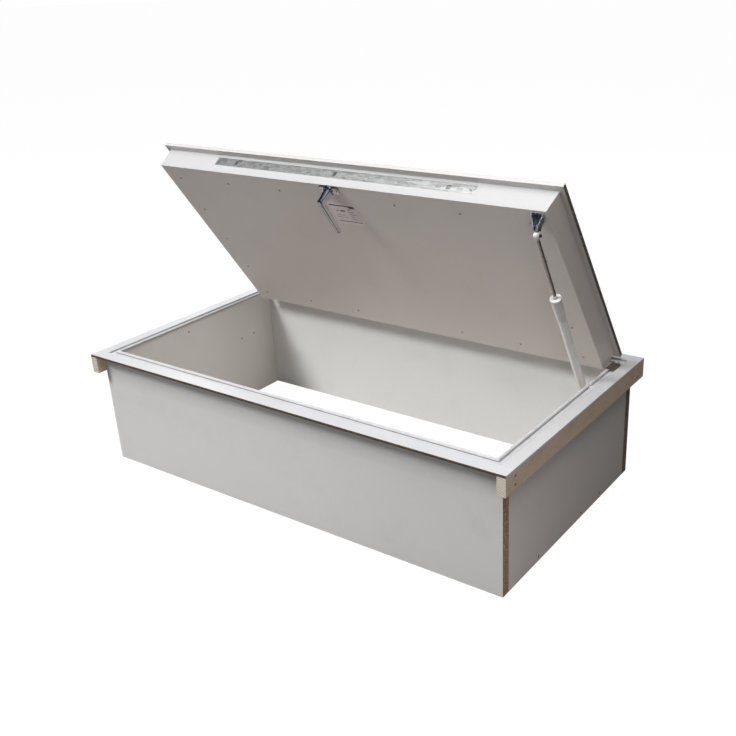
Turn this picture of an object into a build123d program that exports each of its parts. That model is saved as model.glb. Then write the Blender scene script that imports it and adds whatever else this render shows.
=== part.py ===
"""Insulated roof access hatch: a bottomless curb box with a hinged lid.

Millimetres, +Z up, +Y towards the hinge side.  The origin is the centre of the
box, on the surface that the box stands on.  The lid is drawn open, on its stop.
"""
from build123d import *
import math
import os

os.makedirs("parts", exist_ok=True)

# ---------------------------------------------------------------- driving sizes
box_length = 1250.0
box_width = 654.0
panel_thickness = 25.0
frame_top = 320.0
board_thickness = 6.0
side_overhang = 22.0
end_overhang = 26.0
batten_height = 45.0
board_cover = 9.0            # how far a top board reaches in over the panel edge

open_angle = 55.4            # degrees between the closed lid and its stop
hinge_setback = 10.5         # hinge axis in from the back face of the box
hinge_rise = 6.7             # hinge axis above the frame's top face

lip_length = 1200.0
lip_width = 613.0
lip_board = 8.4
cover_thickness = 2.5
lip_gap = 3.8                # from the frame's top face to the closed lip
body_front = -599.7          # front face of the lid's body, from the hinge axis
body_back = -22.5
body_half_top = 588.0
body_half_bottom = 581.0
body_depth = 57.8
skin_thickness = 4.0
rail_width = 60.0
side_rail_width = 70.0

# ---------------------------------------------------------------- derived sizes
half_length = box_length / 2
half_width = box_width / 2
inner_x = half_length - panel_thickness
inner_y = half_width - panel_thickness
panel_height = frame_top - board_thickness
outer_x = half_length + side_overhang
outer_y = half_width + end_overhang
board_edge_x = half_length - board_cover
board_edge_y = half_width - board_cover
batten_bottom = panel_height - batten_height
hinge_y = half_width - hinge_setback
hinge_z = frame_top + hinge_rise

lip_under = lip_gap - hinge_rise
lip_back = -1.9
lip_front = lip_back - lip_width
lip_top = lip_under + lip_board + cover_thickness
body_under = lip_under - body_depth
skin_top = body_under + skin_thickness
core_x = body_half_bottom - side_rail_width + 5.0
core_front = body_front + rail_width
core_back = body_back - rail_width

slope = math.radians(open_angle)
lid_plane = Plane(
    origin=(0, hinge_y, hinge_z),
    x_dir=(1, 0, 0),
    z_dir=(0, math.sin(slope), math.cos(slope)),
)


def save(piece, name):
    """Label a finished piece and write its STEP file."""
    piece.part.label = name
    export_step(piece.part, f"parts/{name}.step")


def lid_level(height):
    """A plane parallel to the lid, at this height from the hinge axis."""
    return lid_plane.offset(height)


def lid_point(across, along, height):
    """A point given in the lid's own axes, as a place in the part's frame."""
    return lid_plane.from_local_coords((across, along, height))


def lid_section(across):
    """A plane square to the hinge axis: its x runs along the lid, its y up."""
    along = lid_plane.y_dir
    return Plane(origin=lid_point(across, 0, 0), x_dir=along, z_dir=(1, 0, 0))


def box_sketch(low, high):
    """A rectangle between two corners of the current sketch plane."""
    with Locations(((low[0] + high[0]) / 2, (low[1] + high[1]) / 2)):
        Rectangle(high[0] - low[0], high[1] - low[1])


def screw_set(planes, head_diameter, head_height, shank_diameter, length):
    """Pan-head screws or nails, one for each plane: the heads stand out of it."""
    with BuildPart() as screws:
        for plane in planes:
            with BuildSketch(plane):
                Circle(head_diameter / 2)
            extrude(amount=head_height, taper=12)
            with BuildSketch(plane):
                Circle(shank_diameter / 2)
            extrude(amount=-length)
    return screws


# ================================================================ the curb box
dowel_diameter = 8.0
dowel_hole = 8.2
dowel_length = 40.0
dowel_heights = (50, 155, 260)
dowel_depth = 15.0           # into the inner face of a long panel

roof_hole_diameter = 7.0
roof_hole_height = 11.0
roof_hole_spacing = 109.0

nail_diameter = 3.0
nail_hole = 3.4
nail_length = 38.0
nail_heads = [(-314, 283), (-314, 303), (314, 283), (314, 303)]

strike_x = (-325.0, 0.0, 325.0)
strike_screw_offset = 23.0
bolt_height = hinge_z - 24.3  # middle of the lock bolts when the lid is closed

strut_x = 560.0
strut_foot = (strut_x, 240.0, 178.0)
foot_screws = [(163, 199), (217, 199)]
spare_hole_depth = 12.0
tie_hole = (-44.0, 290.0)

hinge_x = (-450.0, 0.0, 450.0)
leaf_screw_spacing = 24.0
frame_screw_row = 21.0
frame_screws_at = [
    (x + step, hinge_y + frame_screw_row)
    for x in hinge_x
    for step in (-leaf_screw_spacing, 0, leaf_screw_spacing)
]


def dowel_spots():
    """Height and side of each corner dowel, as seen on a long panel's face."""
    middle = inner_x + panel_thickness / 2
    return [(side * middle, height) for side in (-1, 1) for height in dowel_heights]


def long_panel(side):
    """A long panel, front (-1) or back (1), drilled for dowels and nails."""
    inner_face = Plane(origin=(0, side * inner_y, 0), x_dir=(1, 0, 0), z_dir=(0, -side, 0))
    with BuildPart() as panel:
        with BuildSketch(Plane.XY):
            with Locations((0, side * (half_width - panel_thickness / 2))):
                Rectangle(box_length, panel_thickness)
        extrude(amount=panel_height)
        with BuildSketch(inner_face):
            for spot_x, height in dowel_spots():
                with Locations((spot_x, height * inner_face.y_dir.Z)):
                    Circle(dowel_hole / 2)
        extrude(amount=-dowel_depth, mode=Mode.SUBTRACT)
        for end in (-1, 1):
            end_face = Plane(origin=(end * half_length, 0, 0), x_dir=(0, 1, 0), z_dir=(end, 0, 0))
            with BuildSketch(end_face):
                for nail_y, nail_z in nail_heads:
                    if nail_y * side > inner_y:
                        with Locations((nail_y, nail_z * end_face.y_dir.Z)):
                            Circle(nail_hole / 2)
            extrude(amount=-(nail_length - side_overhang + 2), mode=Mode.SUBTRACT)
        if side < 0:
            with BuildSketch(inner_face):
                for strike in strike_x:
                    for offset in (-strike_screw_offset, strike_screw_offset):
                        with Locations((strike + offset, bolt_height * inner_face.y_dir.Z)):
                            Circle(1.8)
            extrude(amount=-16, mode=Mode.SUBTRACT)
    return panel


def side_panel(side):
    """A short panel, left (-1) or right (1), between the long ones."""
    outer_face = Plane(origin=(side * half_length, 0, 0), x_dir=(0, 1, 0), z_dir=(side, 0, 0))
    inner_face = Plane(origin=(side * inner_x, 0, 0), x_dir=(0, 1, 0), z_dir=(-side, 0, 0))
    with BuildPart() as panel:
        with BuildSketch(Plane.XY):
            with Locations((side * (half_length - panel_thickness / 2), 0)):
                Rectangle(panel_thickness, 2 * inner_y)
        extrude(amount=panel_height)
        with BuildSketch(outer_face):
            with Locations((0, roof_hole_height * outer_face.y_dir.Z)):
                with GridLocations(roof_hole_spacing, 1, 4, 1):
                    Circle(roof_hole_diameter / 2)
        extrude(amount=-panel_thickness, mode=Mode.SUBTRACT)
        with BuildSketch(inner_face):
            for spot_y, spot_z in foot_screws + [tie_hole]:
                with Locations((spot_y, spot_z * inner_face.y_dir.Z)):
                    Circle(2.25)
        extrude(amount=-spare_hole_depth, mode=Mode.SUBTRACT)
        for end in (-1, 1):
            end_face = Plane(origin=(0, end * inner_y, 0), x_dir=(1, 0, 0), z_dir=(0, end, 0))
            with BuildSketch(end_face):
                for spot_x, height in dowel_spots():
                    if spot_x * side > 0:
                        with Locations((spot_x, height * end_face.y_dir.Z)):
                            Circle(dowel_hole / 2)
            extrude(amount=-(dowel_length - dowel_depth + 1), mode=Mode.SUBTRACT)
    return panel


panel_front = long_panel(-1)
save(panel_front, "panel_front")
panel_back = long_panel(1)
save(panel_back, "panel_back")
panel_left = side_panel(-1)
save(panel_left, "panel_left")
panel_right = side_panel(1)
save(panel_right, "panel_right")

with BuildPart() as corner_dowels:
    for side in (-1, 1):
        start = side * (inner_y + dowel_depth - 1)
        dowel_face = Plane(origin=(0, start, 0), x_dir=(1, 0, 0), z_dir=(0, -side, 0))
        with BuildSketch(dowel_face):
            for spot_x, height in dowel_spots():
                with Locations((spot_x, height * dowel_face.y_dir.Z)):
                    Circle(dowel_diameter / 2)
        extrude(amount=dowel_length - 2)
save(corner_dowels, "corner_dowels")


# ---------------------------------------------------------------- battens and nails
def batten(side):
    """The pine batten under the top board of one short side."""
    outer_face = Plane(origin=(side * outer_x, 0, 0), x_dir=(0, 1, 0), z_dir=(side, 0, 0))
    with BuildPart() as strip:
        with BuildSketch(Plane.XY.offset(batten_bottom)):
            with Locations((side * (half_length + side_overhang / 2), 0)):
                Rectangle(side_overhang, 2 * outer_y)
        extrude(amount=batten_height)
        with BuildSketch(outer_face):
            for nail_y, nail_z in nail_heads:
                with Locations((nail_y, nail_z * outer_face.y_dir.Z)):
                    Circle(nail_hole / 2)
        extrude(amount=-side_overhang, mode=Mode.SUBTRACT)
    return strip


batten_left = batten(-1)
save(batten_left, "batten_left")
batten_right = batten(1)
save(batten_right, "batten_right")

nail_planes = [
    Plane(origin=(side * outer_x, nail_y, nail_z), x_dir=(0, 1, 0), z_dir=(side, 0, 0))
    for side in (-1, 1)
    for nail_y, nail_z in nail_heads
]
batten_nails = screw_set(nail_planes, 7.0, 0.8, nail_diameter, nail_length)
save(batten_nails, "batten_nails")


# ---------------------------------------------------------------- top boards
def top_board(low, high):
    """A thin board of the frame's flat rim, with its upper edges eased."""
    with BuildPart() as board:
        with BuildSketch(Plane.XY.offset(panel_height)):
            box_sketch(low, high)
        extrude(amount=board_thickness)
        chamfer(board.edges().group_by(Axis.Z)[-1], 0.5)
    return board


board_front = top_board((-outer_x, -outer_y), (outer_x, -board_edge_y))
save(board_front, "board_front")
with BuildPart() as board_back:
    add(top_board((-outer_x, board_edge_y), (outer_x, outer_y)).part)
    with BuildSketch(Plane.XY.offset(panel_height)):
        with Locations(*frame_screws_at):
            Circle(1.95)
    extrude(amount=board_thickness, mode=Mode.SUBTRACT)
save(board_back, "board_back")
board_left = top_board((-outer_x, -board_edge_y), (-board_edge_x, board_edge_y))
save(board_left, "board_left")
board_right = top_board((board_edge_x, -board_edge_y), (outer_x, board_edge_y))
save(board_right, "board_right")

# ---------------------------------------------------------------- gasket
seal_inset = 12.5            # outer edge of the gasket's foot, from the outer face
seal_foot_inset = 24.6
seal_foot = 2.2
bulb_inset = 26.8
bulb_rise = 4.3
bulb_radius = 4.2
notch_y = 130.0
notch_length = 11.0
clip_y = (235.0, 280.0)


def gasket(side_x, side_y):
    """One mitred length of bulb gasket, on the ledge of one side of the box."""
    inward = Vector(-side_x, -side_y, 0)
    along = inward.cross(Vector(0, 0, 1))
    reach = half_width if side_x else half_length
    start = Vector(side_x * half_length, side_y * half_width, panel_height) - along * reach
    section = Plane(origin=start, x_dir=inward, z_dir=along)
    rise = section.y_dir.Z
    far = (side_x or 1, side_y or 1)
    near = (side_x or -1, side_y or -1)
    with BuildPart() as strip:
        with BuildSketch(section):
            with Locations(((seal_inset + seal_foot_inset) / 2, rise * seal_foot / 2)):
                Rectangle(seal_foot_inset - seal_inset, seal_foot)
            with Locations((bulb_inset, rise * bulb_rise)):
                Circle(bulb_radius)
        extrude(amount=2 * reach)
        with BuildSketch(Plane.XY.offset(panel_height - 5)):
            with BuildLine():
                outside = [(x * half_length, y * half_width) for x, y in (near, far)]
                inside = [(x * (half_length - 60), y * (half_width - 60)) for x, y in (far, near)]
                Polyline(*outside, *inside, close=True)
            make_face()
        extrude(amount=20, mode=Mode.INTERSECT)
    return strip


seal_front = gasket(0, -1)
save(seal_front, "seal_front")
seal_back = gasket(0, 1)
save(seal_back, "seal_back")
seal_left = gasket(-1, 0)
save(seal_left, "seal_left")
with BuildPart() as seal_right:
    add(gasket(1, 0).part)
    with BuildSketch(Plane.XY.offset(panel_height + seal_foot)):
        with Locations((half_length - bulb_inset, notch_y)):
            Rectangle(12, notch_length)
    extrude(amount=10, mode=Mode.SUBTRACT)
save(seal_right, "seal_right")


# ---------------------------------------------------------------- gasket clip
clip_thickness = 0.8
clip_outer_inset = 10.4
clip_inner_inset = 32.0
clip_top = 9.0
clip_leg = 3.0

with BuildPart() as seal_clip:
    clip_start = (half_length, clip_y[0], panel_height)
    with BuildSketch(Plane(origin=clip_start, x_dir=(1, 0, 0), z_dir=(0, 1, 0))):
        with BuildLine():
            Polyline(
                (-clip_outer_inset, -0.4),
                (-clip_outer_inset, -clip_top),
                (-clip_inner_inset, -clip_top),
                (-clip_inner_inset, clip_leg),
            )
            offset(amount=clip_thickness / 2, side=Side.BOTH)
        make_face()
    extrude(amount=clip_y[1] - clip_y[0])
save(seal_clip, "seal_clip")

# ---------------------------------------------------------------- lock keepers
keeper_depth = 13.5
keeper_wall = 2.0
keeper_body = (32.0, 23.0)
keeper_flange = 60.0
keeper_hole = 13.5
front_inner = Plane(origin=(0, -inner_y, 0), x_dir=(-1, 0, 0), z_dir=(0, 1, 0))
keeper_spots = [(x, bolt_height) for x in strike_x]
keeper_screws_at = [(x + side * strike_screw_offset, bolt_height) for x in strike_x for side in (-1, 1)]

with BuildPart() as strike_plates:
    with BuildSketch(front_inner):
        with Locations(*keeper_spots):
            Rectangle(keeper_flange, keeper_body[1])
    extrude(amount=keeper_wall)
    with BuildSketch(front_inner):
        with Locations(*keeper_spots):
            Rectangle(*keeper_body)
    extrude(amount=keeper_depth)
    with BuildSketch(front_inner):
        with Locations(*keeper_spots):
            Rectangle(keeper_body[0] - 2 * keeper_wall, keeper_body[1] - 2 * keeper_wall)
    extrude(amount=keeper_depth - keeper_wall, mode=Mode.SUBTRACT)
    with BuildSketch(front_inner):
        with Locations(*keeper_spots):
            Rectangle(keeper_hole, keeper_hole)
    extrude(amount=keeper_depth, mode=Mode.SUBTRACT)
    with BuildSketch(front_inner):
        with Locations(*keeper_screws_at):
            Circle(1.8)
    extrude(amount=keeper_wall, mode=Mode.SUBTRACT)
save(strike_plates, "strike_plates")

keeper_screw_planes = [
    Plane(origin=(x, -inner_y + keeper_wall, z), x_dir=(-1, 0, 0), z_dir=(0, 1, 0))
    for x, z in keeper_screws_at
]
strike_screws = screw_set(keeper_screw_planes, 6.0, 1.5, 3.4, 16.0)
save(strike_screws, "strike_screws")

# ---------------------------------------------------------------- hinges
leaf_length = 70.0
leaf_thickness = 2.0
knuckle_radius = 4.5
middle_knuckle = 24.0
knuckle_gap = 0.4
hinge_pin_radius = 2.0
hinge_pin_head = 3.2
frame_leaf_start = 5.0
frame_leaf_end = 31.0
lid_leaf_end = -19.5
lid_leaf_start = -4.9
lid_screw_row = -13.0
outer_knuckle = (leaf_length - middle_knuckle) / 2 - knuckle_gap


def hinge_section(x):
    """A plane square to the hinge axis: its x runs to the back, its y up."""
    return Plane(origin=(x, hinge_y, hinge_z), x_dir=(0, 1, 0), z_dir=(1, 0, 0))


with BuildPart() as hinge_frame_leaves:
    for x in hinge_x:
        with BuildSketch(hinge_section(x - leaf_length / 2)):
            box_sketch((frame_leaf_start, -hinge_rise), (frame_leaf_end, -hinge_rise + leaf_thickness))
        extrude(amount=leaf_length)
        for start in (x - leaf_length / 2, x + leaf_length / 2 - outer_knuckle):
            with BuildSketch(hinge_section(start)):
                Circle(knuckle_radius)
                box_sketch((0, -hinge_rise), (frame_leaf_start + 1, -hinge_rise + leaf_thickness))
                box_sketch((0, -hinge_rise), (knuckle_radius, 0))
                Circle(hinge_pin_radius, mode=Mode.SUBTRACT)
            extrude(amount=outer_knuckle)
    with BuildSketch(Plane.XY.offset(frame_top)):
        with Locations(*frame_screws_at):
            Circle(2.1)
    extrude(amount=leaf_thickness, mode=Mode.SUBTRACT)
save(hinge_frame_leaves, "hinge_frame_leaves")

frame_screw_planes = [Plane(origin=(x, y, frame_top + leaf_thickness)) for x, y in frame_screws_at]
hinge_frame_screws = screw_set(frame_screw_planes, 7.0, 1.4, 3.8, 7.6)
save(hinge_frame_screws, "hinge_frame_screws")

with BuildPart() as hinge_pins:
    for x in hinge_x:
        with BuildSketch(hinge_section(x - leaf_length / 2)):
            Circle(hinge_pin_radius)
        extrude(amount=leaf_length)
        for start in (x - leaf_length / 2 - 1.2, x + leaf_length / 2):
            with BuildSketch(hinge_section(start)):
                Circle(hinge_pin_head)
            extrude(amount=1.2)
save(hinge_pins, "hinge_pins")

with BuildPart() as hinge_lid_leaves:
    for x in hinge_x:
        with BuildSketch(lid_section(x - leaf_length / 2)):
            box_sketch((lid_leaf_end, lip_under), (lid_leaf_start, lip_under + leaf_thickness))
        extrude(amount=leaf_length)
        with BuildSketch(lid_section(x - middle_knuckle / 2)):
            Circle(knuckle_radius)
            box_sketch((lid_leaf_start - 1, lip_under), (-2.5, lip_under + leaf_thickness))
            Circle(hinge_pin_radius + 0.1, mode=Mode.SUBTRACT)
        extrude(amount=middle_knuckle)
    with BuildSketch(lid_level(lip_under)):
        with Locations(*[(x, lid_screw_row) for x in hinge_x]):
            with GridLocations(leaf_screw_spacing, 1, 3, 1):
                Circle(1.9)
    extrude(amount=leaf_thickness, mode=Mode.SUBTRACT)
save(hinge_lid_leaves, "hinge_lid_leaves")

lid_screw_planes = [
    Plane(origin=lid_point(x + step, lid_screw_row, lip_under), x_dir=(1, 0, 0), z_dir=-lid_plane.z_dir)
    for x in hinge_x
    for step in (-leaf_screw_spacing, 0, leaf_screw_spacing)
]
hinge_lid_screws = screw_set(lid_screw_planes, 6.0, 0.8, 3.5, 7.0)
save(hinge_lid_screws, "hinge_lid_screws")

# ================================================================ the lid
skin_screw_radius = 1.75
skin_screw_length = 20.0
skin_screw_edge = 535.0
skin_rows = [body_front + 42 + 124 * row for row in range(5)]
skin_columns = [-357.0, -178.0, 178.0, 357.0]
skin_screws_at = [(side * skin_screw_edge, row) for side in (-1, 1) for row in skin_rows]
skin_screws_at += [(column, row) for column in skin_columns for row in (skin_rows[0], skin_rows[-1])]

lip_screws_at = [(side * 594.0, lip_front + 163 + 158 * step) for side in (-1, 1) for step in range(3)]

lock_x = (-325.0, 0.0, 325.0)
faceplate_length = 790.0
faceplate_height = 25.0
faceplate_thickness = 2.5
faceplate_screw_x = 384.0
bolt_level = -24.3           # middle of the lock bolts
bolt_side = 11.0
bolt_window = 12.0
bolt_front = body_front + 0.7
bolt_length = 24.5
bolt_throw = 13.0
bolt_pin_along = body_front + 22.2
bolt_pin_radius = 2.0
tail_offset = 25.0           # the middle bolt's pin stands off to one side

handle_along = body_front + 14.0
follower_arm = 6.0
follower_pin_radius = 1.75
bar_bottom = -33.8
bar_top = -30.8
bar_front = body_front + 4.2
bar_back = body_front + 27.2
bar_travel = 2 * follower_arm * math.sin(math.radians(45))
channel_bottom = -35.0
channel_top = -18.2
channel_back = body_front + 28.2
channel_half = 354.0
case_half = 32.0
case_bottom = -47.7
case_top = -35.2

rosette_screw_x = 24.5
strut_ball = (-556.3, -89.9)  # upper pivot of the strut, in the lid's own axes
bracket_root = (-577.0, -63.0)
bracket_screws_at = [(strut_x + offset, -585.5) for offset in (-8.5, 8.5)]


def lid_front_face(along):
    """A plane across the front of the lid: its x runs right, its y up the lid."""
    return Plane(origin=lid_point(0, along, 0), x_dir=(1, 0, 0), z_dir=-lid_plane.y_dir)


with BuildPart() as lid_cover:
    with BuildSketch(lid_level(lip_under + lip_board)):
        box_sketch((-lip_length / 2, lip_front), (lip_length / 2, lip_back))
        for x in hinge_x:
            with Locations((x, lip_back)):
                Rectangle(leaf_length + 6, 6.8, mode=Mode.SUBTRACT)
    extrude(amount=cover_thickness)
    chamfer(lid_cover.faces().sort_by(Axis((0, 0, 0), lid_plane.z_dir))[-1].edges(), 0.6)
save(lid_cover, "lid_cover")

with BuildPart() as lid_lip:
    with BuildSketch(lid_level(lip_under)):
        box_sketch((-lip_length / 2, lip_front), (lip_length / 2, lip_back))
        for x in hinge_x:
            with Locations((x, lip_back)):
                Rectangle(leaf_length + 6, 6.8, mode=Mode.SUBTRACT)
    extrude(amount=lip_board)
    with BuildSketch(lid_level(lip_under)):
        for x in hinge_x:
            box_sketch((x - 35.2, lid_leaf_end - 0.2), (x + 35.2, lip_back - 3))
    extrude(amount=leaf_thickness, mode=Mode.SUBTRACT)
    with BuildSketch(lid_level(lip_under)):
        with Locations(*lip_screws_at):
            Circle(1.35)
        for x in hinge_x:
            with Locations((x, lid_screw_row)):
                with GridLocations(leaf_screw_spacing, 1, 3, 1):
                    Circle(1.8)
    extrude(amount=lip_board - 1.2, mode=Mode.SUBTRACT)
save(lid_lip, "lid_lip")

lip_screw_planes = [
    Plane(origin=lid_point(x, along, lip_under), x_dir=(1, 0, 0), z_dir=-lid_plane.z_dir)
    for x, along in lip_screws_at
]
lid_lip_screws = screw_set(lip_screw_planes, 5.4, 0.6, 2.6, 6.5)
save(lid_lip_screws, "lid_lip_screws")


# ---------------------------------------------------------------- lid rails and core
skin_half = body_half_bottom + (body_half_top - body_half_bottom) * skin_thickness / body_depth
body_corners = [
    (-skin_half, skin_top),
    (skin_half, skin_top),
    (body_half_top, lip_under),
    (-body_half_top, lip_under),
]
skin_screw_hole = skin_screw_radius + 0.05

with BuildPart() as lid_rail_front:
    with BuildSketch(lid_front_face(body_front)):
        with BuildLine():
            Polyline(*body_corners, close=True)
        make_face()
    extrude(amount=-rail_width)
    with BuildSketch(lid_front_face(body_front)):
        with Locations((0, bolt_level)):
            Rectangle(faceplate_length + 0.4, faceplate_height + 0.4)
    extrude(amount=-faceplate_thickness, mode=Mode.SUBTRACT)
    with BuildSketch(lid_front_face(body_front)):
        box_sketch((-channel_half, channel_bottom), (channel_half, channel_top))
    extrude(amount=body_front - channel_back, mode=Mode.SUBTRACT)
    with BuildSketch(lid_front_face(body_front)):
        with Locations((-faceplate_screw_x, bolt_level), (faceplate_screw_x, bolt_level)):
            Circle(1.75)
    extrude(amount=-18, mode=Mode.SUBTRACT)
    with BuildSketch(lid_level(case_bottom - 0.2)):
        box_sketch((-case_half - 0.4, body_front + 3), (case_half + 0.4, channel_back))
    extrude(amount=channel_bottom - case_bottom + 0.3, mode=Mode.SUBTRACT)
    with BuildSketch(lid_level(skin_top)):
        with Locations((0, handle_along)):
            Circle(8)
    extrude(amount=case_bottom - skin_top, mode=Mode.SUBTRACT)
    with BuildSketch(lid_level(skin_top)):
        with Locations((-rosette_screw_x, handle_along), (rosette_screw_x, handle_along)):
            Circle(1.85)
    extrude(amount=7, mode=Mode.SUBTRACT)
    with BuildSketch(lid_level(skin_top)):
        with Locations(*skin_screws_at):
            Circle(skin_screw_hole)
        with Locations(*bracket_screws_at):
            Circle(1.95)
    extrude(amount=skin_screw_length - skin_thickness + 0.5, mode=Mode.SUBTRACT)
save(lid_rail_front, "lid_rail_front")

with BuildPart() as lid_rail_back:
    with BuildSketch(lid_front_face(core_back)):
        with BuildLine():
            Polyline(*body_corners, close=True)
        make_face()
    extrude(amount=-rail_width)
    with BuildSketch(lid_level(skin_top)):
        with Locations(*skin_screws_at):
            Circle(skin_screw_hole)
    extrude(amount=skin_screw_length - skin_thickness + 0.5, mode=Mode.SUBTRACT)
save(lid_rail_back, "lid_rail_back")


def side_rail(side):
    """A rail of the lid, left (-1) or right (1), with its outer face tapered."""
    with BuildPart() as rail:
        with BuildSketch(lid_front_face(core_front)):
            with BuildLine():
                Polyline(
                    (side * core_x, skin_top),
                    (side * skin_half, skin_top),
                    (side * body_half_top, lip_under),
                    (side * core_x, lip_under),
                    close=True,
                )
            make_face()
        extrude(amount=core_front - core_back)
        with BuildSketch(lid_level(skin_top)):
            with Locations(*skin_screws_at):
                Circle(skin_screw_hole)
        extrude(amount=skin_screw_length - skin_thickness + 0.5, mode=Mode.SUBTRACT)
    return rail


lid_rail_left = side_rail(-1)
save(lid_rail_left, "lid_rail_left")
lid_rail_right = side_rail(1)
save(lid_rail_right, "lid_rail_right")

with BuildPart() as lid_insulation:
    with BuildSketch(lid_level(skin_top)):
        box_sketch((-core_x, core_front), (core_x, core_back))
    extrude(amount=lip_under - skin_top)
save(lid_insulation, "lid_insulation")

with BuildPart() as lid_underside_panel:
    with BuildSketch(lid_front_face(body_front)):
        with BuildLine():
            Polyline(
                (-body_half_bottom, body_under),
                (body_half_bottom, body_under),
                (skin_half, skin_top),
                (-skin_half, skin_top),
                close=True,
            )
        make_face()
    extrude(amount=body_front - body_back)
    with BuildSketch(lid_level(body_under)):
        with Locations(*skin_screws_at):
            Circle(skin_screw_hole)
        with Locations(*bracket_screws_at):
            Circle(1.95)
        with Locations((-rosette_screw_x, handle_along), (rosette_screw_x, handle_along)):
            Circle(1.85)
        with Locations((0, handle_along)):
            Circle(8)
    extrude(amount=skin_thickness, mode=Mode.SUBTRACT)
save(lid_underside_panel, "lid_underside_panel")

skin_screw_planes = [
    Plane(origin=lid_point(x, along, body_under), x_dir=(1, 0, 0), z_dir=-lid_plane.z_dir)
    for x, along in skin_screws_at
]
lid_panel_screws = screw_set(skin_screw_planes, 7.0, 1.2, 2 * skin_screw_radius, skin_screw_length)
save(lid_panel_screws, "lid_panel_screws")

# ---------------------------------------------------------------- three-point lock
with BuildPart() as lock_faceplate:
    with BuildSketch(lid_front_face(body_front)):
        with Locations((0, bolt_level)):
            Rectangle(faceplate_length, faceplate_height)
        with Locations(*[(x, bolt_level) for x in lock_x]):
            Rectangle(bolt_window, bolt_window, mode=Mode.SUBTRACT)
        with Locations((-faceplate_screw_x, bolt_level), (faceplate_screw_x, bolt_level)):
            Circle(1.9, mode=Mode.SUBTRACT)
    extrude(amount=-faceplate_thickness)
save(lock_faceplate, "lock_faceplate")

faceplate_screw_planes = [
    lid_front_face(body_front) * Pos(side * faceplate_screw_x, bolt_level, 0) for side in (-1, 1)
]
faceplate_screws = screw_set(faceplate_screw_planes, 7.0, 0.6, 3.5, 18.0)
save(faceplate_screws, "faceplate_screws")


def lock_bolt(x, pin_x):
    """A square bolt with a drive pin under its tail."""
    with BuildPart() as bolt:
        with BuildSketch(lid_front_face(bolt_front)):
            with Locations((x, bolt_level)):
                Rectangle(bolt_side, bolt_side)
        extrude(amount=-bolt_length)
        if pin_x != x:
            with BuildSketch(lid_level(bolt_level - bolt_side / 2)):
                box_sketch((x, bolt_pin_along - 4), (pin_x + 4, bolt_front + bolt_length))
            extrude(amount=6)
        with BuildSketch(lid_level(bolt_level - bolt_side / 2)):
            with Locations((pin_x, bolt_pin_along)):
                Circle(bolt_pin_radius)
        extrude(amount=-4.5)
        chamfer(bolt.faces().sort_by(Axis((0, 0, 0), lid_plane.y_dir))[0].edges(), 0.8)
    return bolt


lock_bolt_left = lock_bolt(lock_x[0], lock_x[0])
save(lock_bolt_left, "lock_bolt_left")
lock_bolt_middle = lock_bolt(lock_x[1], lock_x[1] + tail_offset)
save(lock_bolt_middle, "lock_bolt_middle")
lock_bolt_right = lock_bolt(lock_x[2], lock_x[2])
save(lock_bolt_right, "lock_bolt_right")


def drive_slot(pin_x, direction):
    """The inclined slot that pushes a bolt out as the bar slides, in a sketch."""
    start = (pin_x, bolt_pin_along)
    end = (pin_x - direction * bar_travel, bolt_pin_along - bolt_throw)
    length = math.dist(start, end)
    angle = math.degrees(math.atan2(start[1] - end[1], start[0] - end[0]))
    with Locations(((start[0] + end[0]) / 2, (start[1] + end[1]) / 2)):
        SlotCenterToCenter(length, 2 * bolt_pin_radius + 0.6, rotation=angle, mode=Mode.SUBTRACT)


def drive_bar(direction, tongue, pins):
    """A flat bar that slides along the lid, out from the follower."""
    arm = follower_arm * math.cos(math.radians(45))
    with BuildPart() as bar:
        with BuildSketch(lid_level(bar_bottom)):
            with Locations((direction * 176, (bar_front + bar_back) / 2)):
                Rectangle(330, bar_back - bar_front)
            with Locations((direction * 1.5, (tongue[0] + tongue[1]) / 2)):
                Rectangle(20, tongue[1] - tongue[0])
            near = handle_along + direction * arm
            far = handle_along + direction * follower_arm
            with Locations((-direction * arm, (near + far) / 2)):
                SlotOverall(
                    abs(far - near) + 2 * follower_pin_radius + 0.8,
                    2 * follower_pin_radius + 0.7,
                    rotation=90,
                    mode=Mode.SUBTRACT,
                )
            for pin_x in pins:
                drive_slot(pin_x, direction)
        extrude(amount=bar_top - bar_bottom)
    return bar


drive_bar_right = drive_bar(1, (handle_along + 0.5, bar_back), (lock_x[1] + tail_offset, lock_x[2]))
save(drive_bar_right, "drive_bar_right")
drive_bar_left = drive_bar(-1, (bar_front, handle_along - 0.5), (lock_x[0],))
save(drive_bar_left, "drive_bar_left")

with BuildPart() as lock_follower:
    with BuildSketch(lid_level(-40.6)):
        with Locations((0, handle_along)):
            Circle(8.3)
    extrude(amount=6.2)
    with BuildSketch(lid_level(-40.6)):
        with Locations((0, handle_along)):
            Circle(6)
    extrude(amount=-6.4)
    arm = follower_arm * math.cos(math.radians(45))
    with BuildSketch(lid_level(-36)):
        with Locations((-arm, handle_along + arm), (arm, handle_along - arm)):
            Circle(follower_pin_radius)
    extrude(amount=5)
    with BuildSketch(lid_level(-48)):
        with Locations((0, handle_along)):
            Rectangle(7.2, 7.2)
    extrude(amount=14, mode=Mode.SUBTRACT)
save(lock_follower, "lock_follower")

with BuildPart() as lock_case:
    with BuildSketch(lid_level(case_bottom)):
        box_sketch((-case_half, body_front + 3.3), (case_half, body_front + 27.8))
    extrude(amount=case_top - case_bottom)
    with BuildSketch(lid_level(case_bottom + 2)):
        box_sketch((-case_half + 1.5, body_front + 4.8), (case_half - 1.5, body_front + 26.3))
    extrude(amount=case_top - case_bottom, mode=Mode.SUBTRACT)
    with BuildSketch(lid_level(case_bottom)):
        with Locations((0, handle_along)):
            Circle(6.5)
    extrude(amount=2, mode=Mode.SUBTRACT)
save(lock_case, "lock_case")

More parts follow.
